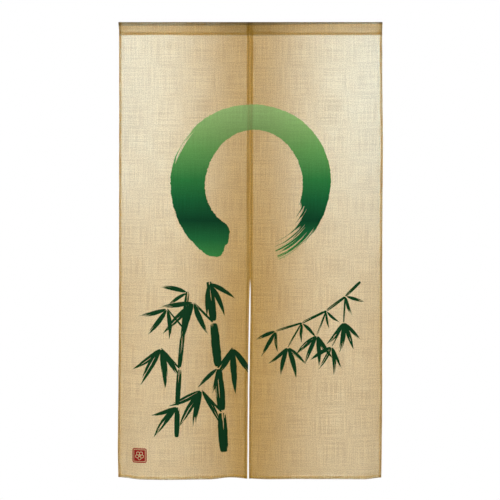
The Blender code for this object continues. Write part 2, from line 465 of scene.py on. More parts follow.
# Where the brush narrows and runs dry, as shares of the way round: over its whole width, on its inner side,
# in a patch on its outer side, and past its ends
NARROWS_FROM = 0.72
NARROWING = 0.14
DRIES_FROM = 0.74
DRYNESS = 0.72
INNER_DRIES_FROM = 0.62
INNER_DRYNESS = 0.55
PATCH_PLACE = 0.30
PATCH_REACH = 0.12
PATCH_DRYNESS = 0.66
PAST_ENDS = 0.004


def brush_strokes(stems, sprays, seed):
    """A row for each stroke: start across and drop, direction across and down, length, half width, sideways
    bend, and a number from 0 to 1 of its own, to which a stem's mark is added. A spray's leaves fan out
    evenly about its middle direction, and the outer ones are shorter."""
    draw = np.random.default_rng(seed)
    rows = []
    for start_x, start_drop, end_x, end_drop, half_width in stems:
        length = np.hypot(end_x - start_x, end_drop - start_drop)
        way = ((end_x - start_x) / length, (end_drop - start_drop) / length)
        rows.append((start_x, start_drop, *way, length, half_width, 0.0, STEM_MARK + draw.random()))
    for foot_x, foot_drop, middle, spread, leaf_length, count in sprays:
        for fan in np.linspace(-1, 1, count):
            angle = np.radians(middle + fan * spread + draw.uniform(-FAN_STRAY, FAN_STRAY))
            length = leaf_length * (1 - OUTER_SHORTENING * abs(fan)) * draw.uniform(*LEAF_LENGTHS)
            bend = LEAF_BEND * length * draw.uniform(-1, 1)
            way = (np.cos(angle), np.sin(angle))
            foot = (foot_x + FOOT_GAP * way[0], foot_drop + FOOT_GAP * way[1])
            half_width = LEAF_SLIMNESS * length * draw.uniform(*LEAF_WIDTHS)
            rows.append((*foot, *way, length, half_width, bend, draw.random()))
    return np.array(rows)


def along_stroke(strokes, across, drop):
    """Places on strokes: share of the way along, and sideways distance from the middle line, which is bent
    as a parabola, in half widths."""
    x, y, way_x, way_y, length, half_width, bend = np.moveaxis(strokes[..., :7], -1, 0)
    along = ((across - x) * way_x + (drop - y) * way_y) / length
    aside = (drop - y) * way_x - (across - x) * way_y
    return along, (aside - bend * 4 * along * (1 - along)) / half_width


def leaf_outline(along):
    """A leaf's half width at a share of its length: a root of it times a power of what is left."""
    t = np.clip(along, 0, 1)
    return LEAF_SCALE * t**LEAF_RISE * (1 - t) ** LEAF_FALL


def give_strokes(piece, corners, printed, strokes):
    """Finds the strokes that lie nearest over each face, and writes where its corners are on them."""
    lengths, half_widths, marks = strokes[:, 4], strokes[:, 5], strokes[:, 7]
    centre = corners.mean(axis=1)[printed]
    along, aside = along_stroke(strokes[None], centre[:, :1], centre[:, 1:])
    outline = np.where(marks >= STEM_MARK, 1.0, leaf_outline(along))
    past = np.maximum(np.maximum(-along, along - 1), 0) * lengths
    nearest = np.argsort(-((outline - np.abs(aside)) * half_widths - past), axis=1)
    for order, name in enumerate(STROKE_NAMES):
        chosen = strokes[nearest[:, order]][:, None, :]
        along, aside = along_stroke(chosen, corners[printed][..., 0], corners[printed][..., 1])
        values = np.full((len(corners), 4, 3), NO_INK)
        values[printed] = np.stack([along, aside, chosen[..., 7] + 0 * along], axis=-1)
        give(piece, name, "CORNER", values.reshape(-1, 3))


def waves(angle, table):
    """How far a line round the ring strays at an angle: a sum of sines with whole waves in a turn."""
    return sum(height * np.sin(count * angle + shift) for height, count, shift in table)


def ring_places(across, drop):
    """Places on the ring: distance along it from the brush's first touch, distance from its middle line in
    half widths, inwards negative, and how dry the brush is there, from 0 to 1."""
    x, y = across - RING_CENTRE[0], drop - RING_CENTRE[1]
    angle = np.arctan2(y, x)
    angle = np.where(angle < (RING_START + RING_END) / 2 - np.pi, angle + 2 * np.pi, angle)
    turn = (angle - RING_START) / (RING_END - RING_START)
    half_width = RING_HALF_WIDTH + waves(angle, WIDTH_WAVES)
    half_width *= 1 - NARROWING * eased((turn - NARROWS_FROM) / (1 - NARROWS_FROM))
    aside = (np.hypot(x, y) - RING_RADIUS - waves(angle, RADIUS_WAVES)) / half_width
    dryness = DRYNESS * eased((turn - DRIES_FROM) / (1 - DRIES_FROM))
    on_inner_side = eased(0.15 - aside / 1.3)
    dryness += INNER_DRYNESS * eased((turn - INNER_DRIES_FROM) / (1 - INNER_DRIES_FROM)) * on_inner_side
    on_outer_side = eased((aside - 0.60) / 0.25)
    dryness += PATCH_DRYNESS * bump(turn - PATCH_PLACE, PATCH_REACH) * on_outer_side
    dryness = np.where(np.abs(turn - 0.5) > 0.5 + PAST_ENDS, 1.0, np.clip(dryness, 0, 1))
    return np.stack([turn * (RING_END - RING_START) * RING_RADIUS, aside, dryness], axis=-1)


def bare_tree(owner):
    """The node tree of a material or a world, emptied."""
    owner.use_nodes = True
    owner.node_tree.nodes.clear()
    return owner.node_tree


def node(tree, kind, inputs=(), **settings):
    """One shader node of a kind. Settings are its properties, and inputs pair sockets with values."""
    made = tree.nodes.new("ShaderNode" + kind)
    for name, value in settings.items():
        setattr(made, name, value)
    for socket, value in inputs:
        if isinstance(value, bpy.types.NodeSocket):
            tree.links.new(value, made.inputs[socket])
        else:
            made.inputs[socket].default_value = value
    return made


def figure(operation, *values):
    """The result of one Math node, in the node tree of its values."""
    tree = next(value.id_data for value in values if isinstance(value, bpy.types.NodeSocket))
    return node(tree, "Math", enumerate(values), operation=operation).outputs[0]


def product(result, *others):
    """Numbers multiplied together, one after another."""
    for other in others:
        result = figure("MULTIPLY", result, other)
    return result


def total(first, second):
    """The sum of two numbers."""
    return figure("ADD", first, second)


def less(first, second):
    """A number less another."""
    return figure("SUBTRACT", first, second)


def rest(share):
    """What a share leaves of 1."""
    return less(1.0, share)


def size_of(value):
    """A number without its sign."""
    return figure("ABSOLUTE", value)


def distance(x, y):
    """The root of the sum of two squares."""
    return figure("SQRT", total(figure("POWER", x, 2.0), figure("POWER", y, 2.0)))


def ranged(value, low, high, to_low=0.0, to_high=1.0):
    """A number carried over from one range to another, and held at the new range's ends."""
    inputs = ((0, value), (1, low), (2, high), (3, to_low), (4, to_high))
    return node(value.id_data, "MapRange", inputs).outputs[0]


def read(tree, name):
    """The three numbers of an attribute, and the attribute as a vector."""
    vector = node(tree, "Attribute", attribute_name=name).outputs["Vector"]
    return node(tree, "SeparateXYZ", ((0, vector),)).outputs, vector


def grain(vector, scale, detail=2.0):
    """Noise from 0 to 1, with its own scale along each axis of the vector."""
    tree = vector.id_data
    scaled = node(tree, "VectorMath", ((0, vector), (1, scale)), operation="MULTIPLY")
    inputs = (("Vector", scaled.outputs[0]), ("Scale", 1.0), ("Detail", detail))
    return node(tree, "TexNoise", inputs).outputs[0]


def uneven(vector, scale, detail, reach):
    """Noise from -reach to reach."""
    return figure("MULTIPLY_ADD", grain(vector, scale, detail), 2 * reach, -reach)


def blended(amount, first, second):
    """Two colours blended by an amount from 0 to 1."""
    inputs = ((0, amount), (6, first), (7, second))
    return node(amount.id_data, "Mix", inputs, data_type="RGBA").outputs[2]


def lightened(colour, amount):
    """A colour times an amount: lighter above 1, darker below it."""
    inputs = ((0, colour), (3, amount))
    return node(colour.id_data, "VectorMath", inputs, operation="SCALE").outputs[0]


# The inks' grain: its scales along and across a stroke, and how far it moves an outline. The ring's hairs
# are two noises: scales, detail and share. Hairs leave no ink where
# their noise is under the parting, given for a wet and a dry brush.
LEAF_EDGE_GRAIN = (9.0, 1.2, 31.0)
LEAF_EDGE_REACH = 0.15
LEAF_HAIRS = (1.3, 3.4, 17.0)
LEAF_PARTING = (0.26, 0.46)
RING_PARTING = (0.10, 0.68)
RING_HAIRS = (((4.2, 7.5, 0.0), 4.0, 0.65), ((13.0, 24.0, 0.0), 2.0, 0.35))
RING_EDGE_GRAIN = (90.0, 1.5, 0.0)
RING_EDGE_REACH = 0.08
RING_HEAD_GRAIN = (0.0, 2.4, 0.0)
RING_HEAD_REACH = 0.011
RING_HEAD_ROUNDING = 0.034

# The stamp, in halves of its side: power of its corners, wear, place and half width of its inner line, the
# petals' distance from the middle, radius and half line, the eye, and how free of ink these are
STAMP_CORNERS = 8.0
STAMP_WEAR = 0.25
STAMP_LINE = (0.80, 0.035)
PETALS_OUT = 0.36
PETAL_LINE = (0.215, 0.040)
BLOSSOM_EYE = 0.075
LEFT_FREE = 0.82


def stroke_ink(tree, name):
    """How much ink a bamboo stroke leaves: inside a leaf's outline or a stem's, which is a power of its
    share times what is left, with a rough edge, and less where the brush's hairs have parted towards the
    end."""
    (along, aside, own), place = read(tree, name)
    held = figure("MAXIMUM", figure("MINIMUM", along, 1.0), 0.0)
    left_over = rest(held)
    rise = figure("POWER", held, LEAF_RISE)
    fall = figure("POWER", left_over, LEAF_FALL)
    leaf = product(rise, fall, LEAF_SCALE)
    stem = figure("POWER", product(held, left_over, 4.0), STEM_ROUNDING)
    is_stem = figure("GREATER_THAN", own, STEM_MARK - 0.5)
    outline = total(product(leaf, rest(is_stem)), product(stem, is_stem))
    ragged = uneven(place, LEAF_EDGE_GRAIN, 2.0, LEAF_EDGE_REACH)
    ragged = product(ragged, figure("MINIMUM", outline, 1.0))
    inside = ranged(total(less(outline, size_of(aside)), ragged), 0.0, 0.05)
    parted = ranged(held, 0.25, 1.0, *LEAF_PARTING)
    wet = ranged(less(grain(place, LEAF_HAIRS), parted), 0.0, 0.02)
    return product(inside, wet)


def ring_ink(tree):
    """How much ink the ring's brush leaves: inside the stroke's outline, between its rounded head and its
    end, and where its hairs still touch, which is where their noise is above the brush's dryness."""
    (along, aside, dryness), place = read(tree, "ring")
    hairs = [product(grain(place, scale, detail), share) for scale, detail, share in RING_HAIRS]
    parted = ranged(dryness, 0.0, 1.0, *RING_PARTING)
    wet = ranged(less(total(*hairs), parted), 0.0, 0.015)
    from_middle = size_of(aside)
    wobble = uneven(place, RING_EDGE_GRAIN, 4.0, RING_EDGE_REACH)
    inside = ranged(total(rest(from_middle), wobble), 0.0, 0.018)
    blunt = uneven(place, RING_HEAD_GRAIN, 4.0, RING_HEAD_REACH)
    round_head = product(figure("POWER", from_middle, 5.0), RING_HEAD_ROUNDING)
    started = ranged(less(total(along, blunt), round_head), 0.0, 0.0012)
    length = (RING_END - RING_START) * RING_RADIUS
    not_over = ranged(along, length - 0.001, length, 1.0, 0.0)
    return product(inside, wet, product(started, not_over))


def stamp_ink(tree):
    """A red square with soft corners, and in it, left free of ink, a thin square line and a blossom's
    outline: five circles about its middle, drawn as one with the angle folded into a fifth of a turn."""
    (x, y, _), place = read(tree, "stamp")
    far_x, far_y = size_of(x), size_of(y)
    far = total(*(figure("POWER", far, STAMP_CORNERS) for far in (far_x, far_y)))
    stamp_wear_and_band_shade = uneven(place, (5.0, 5.0, 0.0), 3.0, STAMP_WEAR)
    square = ranged(total(far, stamp_wear_and_band_shade), 0.95, 1.05, 1.0, 0.0)
    line = figure("COMPARE", figure("MAXIMUM", far_x, far_y), *STAMP_LINE)
    fifth = 2 * np.pi / 5
    angle = total(figure("ARCTAN2", y, x), 2 * np.pi + np.pi / 2)
    folded = less(figure("MODULO", angle, fifth), fifth / 2)
    reach = distance(x, y)
    out = less(product(reach, figure("COSINE", folded)), PETALS_OUT)
    aside = product(reach, figure("SINE", folded))
    petals = figure("COMPARE", distance(out, aside), *PETAL_LINE)
    eye = figure("LESS_THAN", reach, BLOSSOM_EYE)
    free = figure("MAXIMUM", figure("MAXIMUM", line, petals), eye)
    return product(square, rest(product(free, LEFT_FREE)))


# The weave: distance between threads, its slubs as noises with scales and share, the sums of them between
# which a thread goes from thin to thick, and the parts of its relief
THREAD_PITCH = 0.00085
SLUBS = (((460.0, 10.0, 0.0), 0.26), ((9.0, 460.0, 0.0), 0.24), ((350.0, 350.0, 0.0), 0.50))
SLUB_RANGE = (0.442, 0.558)
CROSSING_RELIEF = 0.6
GAP_RELIEF = 0.5
SLUB_RELIEF = 0.9

# The cloth's colour and that of the light through it, on thin and thick thread, and the inks. Then the
# ink's lightness on thin and thick thread, the roughness of bare and inked cloth, and the print's share on
# the back.
CLOTH_TAN = (0.87, 0.530, 0.087, 1.0)
CLOTH_TAN_THICK = (0.62, 0.320, 0.035, 1.0)
CLOTH_GLOW = (0.99, 0.99, 0.97, 1.0)
CLOTH_GLOW_THICK = (0.80, 0.77, 0.70, 1.0)
LEAF_GREEN = (0.007, 0.068, 0.024, 1.0)
STAMP_RED = (0.44, 0.026, 0.032, 1.0)
INK_ON_THREADS = (1.09, 0.89)
ROUGHNESS = (0.88, 0.70)
STRUCK_THROUGH = 0.55

# How much darker the hems, the seam's edge, the bottom's very edge, the heading and its strip are painted
# beside the plain cloth, as painted shade of their folds, folded layers and the rod, and how much lighter the
# bottom hem is painted, as painted light. Then how far out the heading's darker middle fades.
OUTER_HEM_TONE = 0.94
INNER_HEM_TONE = 0.84
SEAM_TONE = 0.90
BOTTOM_TONE = 1.12
BOTTOM_EDGE_TONE = 0.62
BOTTOM_EDGE = 0.0005
HEADING_TONE = 0.66
HEADING_END_TONE = 0.90
HEADING_HEM_TONE = 0.70
HEADING_TONE_REACH = 0.21
STRIP_TONE = 0.98

# What share of the light each face lets on: in front, in front at the bottom hem, and behind at the pocket,
# its strip and its ends, at the top of the outer and inner hems, lower down on both and at the bottom. Then
# the drops between which the side hems change.
FRONT_SHEER = 0.50
BOTTOM_FRONT_SHEER = 0.58
POCKET_SHEER = 0.82
STRIP_SHEER = 0.79
POCKET_HEM_SHEER = 0.98
OUTER_SHEER_TOP = 0.915
HEM_SHEER_TOP = 0.76
HEM_SHEER_LOW = 0.97
BOTTOM_SHEER = 0.99
HEM_FADE_FROM = 0.2
HEM_FADE_TO = 1.1

# How far past a hem, the heading and its strip their marks reach, and the width of the edge at the seam
HEM_MARGIN = 0.0002
HEADING_MARGIN = 0.0005
STRIP_MARGIN = 0.0001
SEAM_EDGE = 0.0005

# The band of painted shade over the rod, where the rod and the pocket's curved top keep back the light from
# behind: two places across and its lower edge's drop there, how softly it ends, the scales of its threads'
# noise, how much darker it is painted from thin to thick ones, and how much it dims the light through it
BAND_PLACES = (-0.10, 0.40)
BAND_DROPS = (0.0130, 0.0068)
BAND_EDGE = (-0.0002, 0.0004)
BAND_THREADS = (420.0, 12.0, 0.0)
BAND_PAINTED_SHADE = (0.38, 0.68)
BAND_DIMMING = 0.08

# The painted shade of the crease that stitches draw into a side hem: its half width, and how much darker it
# is painted. Then the painted light of the hem's rim: how much lighter the hem is painted towards its edge,
# and over what distances from the row it turns so.
CREASE = 0.0011
CREASE_SHADE = 0.40
PAINTED_HEM_RIM_LIGHT = 1.09
HEM_RIM = (-0.0028, -0.0012)

# The ring's green from its top to its bottom: drop, red, green, blue
RING_GREENS = (
    (0.262, 0.480, 0.670, 0.310),
    (0.355, 0.300, 0.490, 0.190),
    (0.413, 0.187, 0.414, 0.135),
    (0.510, 0.038, 0.250, 0.070),
    (0.574, 0.012, 0.157, 0.052),
    (0.640, 0.003, 0.076, 0.031),
    (0.700, 0.021, 0.200, 0.066),
    (0.774, 0.085, 0.400, 0.110),
)


def layer_marks(side, across, drop, front_rows, front_columns):
    """For each point of a cloth: how its colour is darkened and lightened by painted shade and light, and
    what share of the light it lets on. Hems, the seam's edge and the bottom's very edge are painted darker,
    as painted shade of their folds and folded layers, and the heading is painted darker still towards its
    middle, as painted shade of the rod. The bottom hem is painted lighter, as painted light. What lies behind
    the front layer lets more light on, and most at the bottom."""
    left, right = edges_at(side, drop)
    from_outside = across - left if side < 0 else right - across
    from_seam = right - across if side < 0 else across - left
    from_bottom = bottom_at(side, across) - drop
    in_outer_hem = from_outside < OUTER_HEM + HEM_MARGIN
    in_inner_hem = from_seam < INNER_HEMS[side] + HEM_MARGIN
    in_bottom = from_bottom < BOTTOM_HEM + HEM_MARGIN
    in_heading = drop < POCKET_HEIGHT + HEADING_MARGIN
    in_strip = in_heading & (drop > TOP - STRIP_TOP - STRIP_MARGIN)
    # Painted shade: the hems, the seam's edge and the bottom's very edge are darker. Painted light: the
    # bottom hem is lighter.
    tone = np.where(in_bottom, BOTTOM_TONE, 1.0)
    tone = np.where(in_outer_hem, OUTER_HEM_TONE, np.where(in_inner_hem, INNER_HEM_TONE, tone))
    tone = np.where(from_seam < SEAM_EDGE, SEAM_TONE, tone)
    tone = np.where(from_bottom < BOTTOM_EDGE, BOTTOM_EDGE_TONE, tone)
    # Painted shade of the rod: the heading is darker, most at its middle.
    out = eased(np.abs(across) / HEADING_TONE_REACH)
    heading_tone = HEADING_TONE + (HEADING_END_TONE - HEADING_TONE) * out
    heading_tone = np.where(in_outer_hem, HEADING_HEM_TONE, heading_tone)
    tone = np.where(in_heading, tone * heading_tone, tone)
    tone = np.where(in_strip, tone * STRIP_TONE, tone)

    highest = np.where(in_outer_hem, OUTER_SHEER_TOP, HEM_SHEER_TOP)
    lower = eased((drop - HEM_FADE_FROM) / (HEM_FADE_TO - HEM_FADE_FROM))
    sheer = highest + (HEM_SHEER_LOW - highest) * lower
    sheer = np.where(in_bottom, BOTTOM_SHEER, sheer)
    in_pocket = np.where(in_outer_hem, POCKET_HEM_SHEER, np.where(in_strip, STRIP_SHEER, POCKET_SHEER))
    sheer = np.where(in_heading, in_pocket, sheer)
    in_front = np.where(in_bottom, BOTTOM_FRONT_SHEER, FRONT_SHEER)
    front = (slice(*front_rows), slice(*front_columns))
    sheer[front] = in_front[front]
    return tone, sheer


def from_row(side, across, drop):
    """How far a cloth's points lie from the row of stitches in the nearer side hem, inwards positive."""
    left, right = edges_at(side, drop)
    strips = SIDE_HEMS[side]
    return np.minimum(across - left - strips[0], right - across - strips[1]) + HEM_ROW


def slub_share(weave):
    """How thick the threads are, from 0 to 1: noises drawn out along warp, weft and neither, in shares."""
    thickness = product(grain(weave, SLUBS[0][0]), SLUBS[0][1])
    for scale, share in SLUBS[1:]:
        thickness = figure("MULTIPLY_ADD", grain(weave, scale), share, thickness)
    return ranged(thickness, *SLUB_RANGE)


def weave_relief(u, v, thick):
    """The relief of plain weave, from a sine across the warp and one across the weft: their product gives
    the crossings, and the smaller of their sizes gives the gaps."""
    warp = figure("SINE", product(u, np.pi / THREAD_PITCH))
    weft = figure("SINE", product(v, np.pi / THREAD_PITCH))
    crossing = figure("MULTIPLY_ADD", product(warp, weft), 0.5, 0.5)
    gaps = figure("MINIMUM", size_of(warp), size_of(weft))
    relief = total(product(crossing, CROSSING_RELIEF), product(gaps, GAP_RELIEF))
    return figure("MULTIPLY_ADD", thick, SLUB_RELIEF, relief)


def ring_green(height):
    """The ring's colour at a height, blended from stop to stop of its greens."""
    top, bottom = RING_GREENS[0][0], RING_GREENS[-1][0]
    way_down = ranged(height, TOP - top, TOP - bottom)
    ramp = node(height.id_data, "ValToRGB", ((0, way_down),))
    stops = ramp.color_ramp.elements
    for index, (drop, *colour) in enumerate(RING_GREENS):
        share = (drop - top) / (bottom - top)
        stop = stops[index] if index < 2 else stops.new(share)
        stop.position = share
        stop.color = (*colour, 1.0)
    return ramp.outputs[0]


def printed_linen():
    """Plain weave of uneven, slubby threads, half of whose light comes from the front and half through it,
    with the print's inks over it. Thicker threads are browner and let less light through."""
    material = bpy.data.materials.new("printed_linen")
    tree = bare_tree(material)
    (u, v, row), weave = read(tree, "weave")
    (tone, sheer, front), _ = read(tree, "layer")
    place = node(tree, "TexCoord").outputs["Object"]
    across, _, height = node(tree, "SeparateXYZ", ((0, place),)).outputs
    thick = slub_share(weave)

    ring = ring_ink(tree)
    stamp = stamp_ink(tree)
    leaves = stroke_ink(tree, STROKE_NAMES[0])
    for name in STROKE_NAMES[1:]:
        leaves = figure("MAXIMUM", leaves, stroke_ink(tree, name))
    ink_colour = blended(leaves, ring_green(height), LEAF_GREEN)
    ink_colour = blended(stamp, ink_colour, STAMP_RED)
    ink_colour = lightened(ink_colour, ranged(thick, 0.0, 1.0, *INK_ON_THREADS))
    inked = figure("MAXIMUM", figure("MAXIMUM", ring, leaves), stamp)
    inked = product(inked, front)

    # Painted shade of the rod and the pocket's curved top: a band along the top, darker in colour and dimmer
    # in the light through it
    band_edge = ranged(across, *BAND_PLACES, *(TOP - drop for drop in BAND_DROPS))
    on_band = ranged(less(height, band_edge), *BAND_EDGE)
    threads = ranged(grain(weave, BAND_THREADS), 0.30, 0.70, *BAND_PAINTED_SHADE)
    stamp_wear_and_band_shade = rest(product(on_band, threads))
    # Painted shade along the stitches' creases, and painted light on the hem's rim beyond them.
    painted_crease_shade = ranged(size_of(row), CREASE / 3, CREASE, CREASE_SHADE, 0.0)
    rim = ranged(row, *HEM_RIM, PAINTED_HEM_RIM_LIGHT, 1.0)
    tan = blended(thick, CLOTH_TAN, CLOTH_TAN_THICK)
    # The cloth's colour is multiplied by painted shade and light: the hem, seam and heading tones, the band
    # over the rod, the stitch creases and the hem rims.
    tan = lightened(tan, product(tone, stamp_wear_and_band_shade, rest(painted_crease_shade), rim))
    glow = blended(thick, CLOTH_GLOW, CLOTH_GLOW_THICK)
    glow = lightened(glow, rest(product(on_band, BAND_DIMMING)))

    relief = weave_relief(u, v, thick)
    bumps = node(tree, "Bump", (("Strength", 0.55), ("Distance", 0.00012), ("Height", relief)))
    surface = (
        ("Base Color", blended(inked, tan, ink_colour)),
        ("Roughness", ranged(inked, 0.0, 1.0, *ROUGHNESS)),
        ("Specular IOR Level", 0.12),
        ("Sheen Weight", 0.02),
        ("Sheen Roughness", 0.5),
        ("Normal", bumps.outputs[0]),
    )
    cloth = node(tree, "BsdfPrincipled", surface).outputs[0]
    through = (("Color", blended(inked, glow, ink_colour)), ("Normal", bumps.outputs[0]))
    lit_through = node(tree, "BsdfTranslucent", through).outputs[0]
    both = node(tree, "MixShader", ((0, sheer), (1, cloth), (2, lit_through)))
    node(tree, "OutputMaterial", ((0, both.outputs[0]),))
    return material


def make_cloth(name, side, stems, sprays, seed, material):
    """One cloth: its front and back face as grids, joined round their rims, with its places on the flat cut
    for the weave and its places on the print's strokes. Also gives the flat cut's width and height."""
    front, (print_rows, print_columns) = cloth_surface(side, -CLOTH_THICKNESS / 2)
    back, _ = cloth_surface(side, CLOTH_THICKNESS / 2)
    rows, columns = front.shape[:2]
    quads = grid_faces(rows, columns)
    index = np.arange(rows * columns).reshape(rows, columns)
    rim = np.concatenate([index[0, :], index[1:, -1], index[-1, -2::-1], index[-2:0:-1, 0]])
    following = np.roll(rim, -1)
    rim_faces = np.stack([rim, following, following + rows * columns, rim + rows * columns], axis=1)
    points = np.concatenate([front.reshape(-1, 3), back.reshape(-1, 3)])
    faces = np.concatenate([quads, quads[:, ::-1] + rows * columns, rim_faces])
    piece = new_piece(name, points, faces, material)

    def run(line):
        """Distances along a line of points."""
        return np.concatenate([[0.0], np.cumsum(np.linalg.norm(np.diff(line, axis=0), axis=1))])

    middle = (front + back) / 2
    u = run(middle[rows // 2])
    v = run(middle[:, columns // 2])
    flat_u, flat_v = np.meshgrid(u, v)
    row = from_row(side, middle[..., 0], TOP - middle[..., 2])
    weave = np.stack([flat_u, flat_v, row], axis=-1).reshape(-1, 3)
    give(piece, "weave", "POINT", np.concatenate([weave, weave]))
    top_row = int(np.argmax(middle[:, columns // 2, 2]))
    front_rows = (top_row, print_rows[1])
    marks = layer_marks(side, middle[..., 0], TOP - middle[..., 2], front_rows, print_columns)
    layers = []
    for printed_share in (1.0, STRUCK_THROUGH):
        layers.append(np.stack([*marks, 0 * marks[0] + printed_share], axis=-1).reshape(-1, 3))
    give(piece, "layer", "POINT", np.concatenate(layers))

    places = np.stack([points[:, 0], TOP - points[:, 2]], axis=1)
    give(piece, "ring", "POINT", ring_places(places[:, 0], places[:, 1]))
    cells = np.zeros((rows - 1, columns - 1), bool)
    cells[print_rows[0] : print_rows[1] - 1, print_columns[0] : print_columns[1] - 1] = True
    printed = np.concatenate([cells.reshape(-1), cells.reshape(-1), np.zeros(len(rim), bool)])
    corners = places[faces]
    give_strokes(piece, corners, printed, brush_strokes(stems, sprays, seed))
    stamp = (corners - STAMP_CENTRE) / STAMP_HALF
    stamp = np.where(printed[:, None, None], stamp, NO_INK)
    give(piece, "stamp", "CORNER", np.dstack([stamp, 0 * stamp[..., :1]]).reshape(-1, 3))
    return piece, (float(u[-1]), float(v[-1]))


linen = printed_linen()
cloth_left, left_cut = make_cloth("cloth_left", -1, LEFT_STEMS, LEFT_SPRAYS, 11, linen)
cloth_right, right_cut = make_cloth("cloth_right", 1, RIGHT_STEMS, RIGHT_SPRAYS, 23, linen)
for cloth, cut in ((cloth_left, left_cut), (cloth_right, right_cut)):
    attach(cloth, "root")
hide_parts("panel_left", "heading")
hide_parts("panel_right")

# The sewing
# Cotton thread in the cloth's own brown. A machine ran one row along each hem and two along the heading's
# strip. The cloths are whipped together by hand along their inner edges, down to a bar of stitches over the
# slit.

STITCH_PITCH = 0.0030
STITCH_LENGTH = 0.0024
THREAD_RADIUS = 0.00017
THREAD_DARK = (0.46, 0.27, 0.10, 1.0)
THREAD_LIGHT = (0.62, 0.40, 0.18, 1.0)

# A stitch's mesh: rings along it and points round each. Its rise, how deep its ends sink into the cloth and
# how thick they are, in radii of the thread.
STITCH_RINGS = 4
STITCH_SIDES = 4
STITCH_RISE = 1.3
STITCH_SINK = 0.4
END_RADIUS = 0.55

# A hem's thickness, how far under the pocket the side rows start, how far in from its ends the heading's
# rows lie, and how far under the strip's top the upper one runs
HEM_THICKNESS = 2 * LAYER_PITCH + CLOTH_THICKNESS
ROW_START = 0.003
HEADING_INSETS = (0.002, 0.004)
UPPER_ROW = 0.0012

# The whipping: first drop, pitch, reach to each side, slant, and how far inside the edge its end is laid
WHIP_START = 0.046
WHIP_PITCH = 0.0060
WHIP_REACH = 0.0017
WHIP_SLANT = 0.0016
WHIP_INSET = 0.0002

# The bar: number of stitches, pitch, and how far above the slit's top it begins and stitches turn level
BAR_STITCHES = 8
BAR_PITCH = 0.0008
BAR_RISE = 0.003
LEVEL_RISE = 0.004


def thread_material():
    """Twisted thread: fine slanting bands as relief, and two browns blended by noise."""
    material = bpy.data.materials.new("brown_thread")
    tree = bare_tree(material)
    place = node(tree, "TexCoord").outputs["Object"]
    colour = blended(grain(place, (300.0, 300.0, 300.0)), THREAD_DARK, THREAD_LIGHT)
    bands = (("Vector", place), ("Scale", 900.0), ("Distortion", 2.0))
    twist = node(tree, "TexWave", bands, bands_direction="DIAGONAL").outputs[1]
    bumps = node(tree, "Bump", (("Strength", 0.4), ("Distance", 0.00005), ("Height", twist)))
    surface = (("Base Color", colour), ("Roughness", 0.6), ("Sheen Weight", 0.1))
    thread = node(tree, "BsdfPrincipled", (*surface, ("Normal", bumps.outputs[0])))
    node(tree, "OutputMaterial", ((0, thread.outputs[0]),))
    return material


def stitches(starts, ends, out):
    """Short rounded threads from each start to each end: rings round the line between them, which rises in
    an arch out of the cloth. Out is -1 for the front and 1 for the back."""
    along = np.linspace(0, 1, STITCH_RINGS)
    arch = np.sin(np.pi * along)
    centre = starts[:, None, :] + along[:, None] * (ends - starts)[:, None, :]
    centre[..., 1] += out * THREAD_RADIUS * (STITCH_RISE * arch - STITCH_SINK)
    way = (ends - starts) / np.linalg.norm(ends - starts, axis=1, keepdims=True)
    proud = np.array([0.0, 1.0, 0.0])
    aside = np.cross(way, proud)[:, None, None, :]
    angle = (np.arange(STITCH_SIDES) * 2 * np.pi / STITCH_SIDES + np.pi / 4)[None, :, None]
    ring = np.cos(angle) * aside + np.sin(angle) * proud
    radius = THREAD_RADIUS * (END_RADIUS + (1 - END_RADIUS) * arch)
    points = centre[:, :, None, :] + radius[:, None, None] * ring

    rows = STITCH_SIDES * np.arange(STITCH_RINGS - 1)[:, None]
    first = (rows + np.arange(STITCH_SIDES)).reshape(-1)
    beside = (rows + (np.arange(STITCH_SIDES) + 1) % STITCH_SIDES).reshape(-1)
    quads = np.stack([first, beside, beside + STITCH_SIDES, first + STITCH_SIDES], axis=1)
    last = (STITCH_RINGS - 1) * STITCH_SIDES
    caps = np.array([[3, 2, 1, 0], [last, last + 1, last + 2, last + 3]])
    shift = np.arange(len(starts))[:, None, None] * STITCH_RINGS * STITCH_SIDES
    faces = np.concatenate([quads, caps]) + shift
    return points.reshape(-1, 3), faces.reshape(-1, 4)


def both_faces(starts, ends):
    """A row of stitches in front, and the same row at the back of the hem."""
    behind = np.array([0.0, HEM_THICKNESS, 0.0])
    return [stitches(starts, ends, -1), stitches(starts + behind, ends + behind, 1)]


def on_front(side, across, drop):
    """Points on the front of a cloth."""
    forward = CLOTH_FRONT - depth_at(side, across, drop)
    return np.stack([across, forward, TOP - drop], axis=-1)


def stitch_places(first, last):
    """Where stitches start and end along a row, evenly spaced and all of one length."""
    start = first + np.arange(int((last - first) / STITCH_PITCH)) * STITCH_PITCH
    return start, start + STITCH_LENGTH


def joined(parts):
    """Several sets of points and faces as one."""
    counts = np.cumsum([0] + [len(points) for points, _ in parts[:-1]])
    return (
        np.concatenate([points for points, _ in parts]),
        np.concatenate([faces + shift for (_, faces), shift in zip(parts, counts)]),
    )


def hem_rows(side):
    """The rows of stitches of one cloth's three hems, in front and at the back."""
    strips = SIDE_HEMS[side]
    down = stitch_places(POCKET_HEIGHT + ROW_START, CURTAIN_HEIGHT - BOTTOM_HEM)
    rows = []
    for edge, inwards in ((0, 1), (1, -1)):
        inset = inwards * (strips[edge] - HEM_ROW)
        rows.append([on_front(side, edges_at(side, drop)[edge] + inset, drop) for drop in down])
    left, right = (edge[0] for edge in edges_at(side, np.array([CURTAIN_HEIGHT])))
    along = stitch_places(left + strips[0], right - strips[1])
    rows.append([on_front(side, x, bottom_at(side, x) - BOTTOM_HEM + HEM_ROW) for x in along])
    return joined([part for row in rows for part in both_faces(*row)])


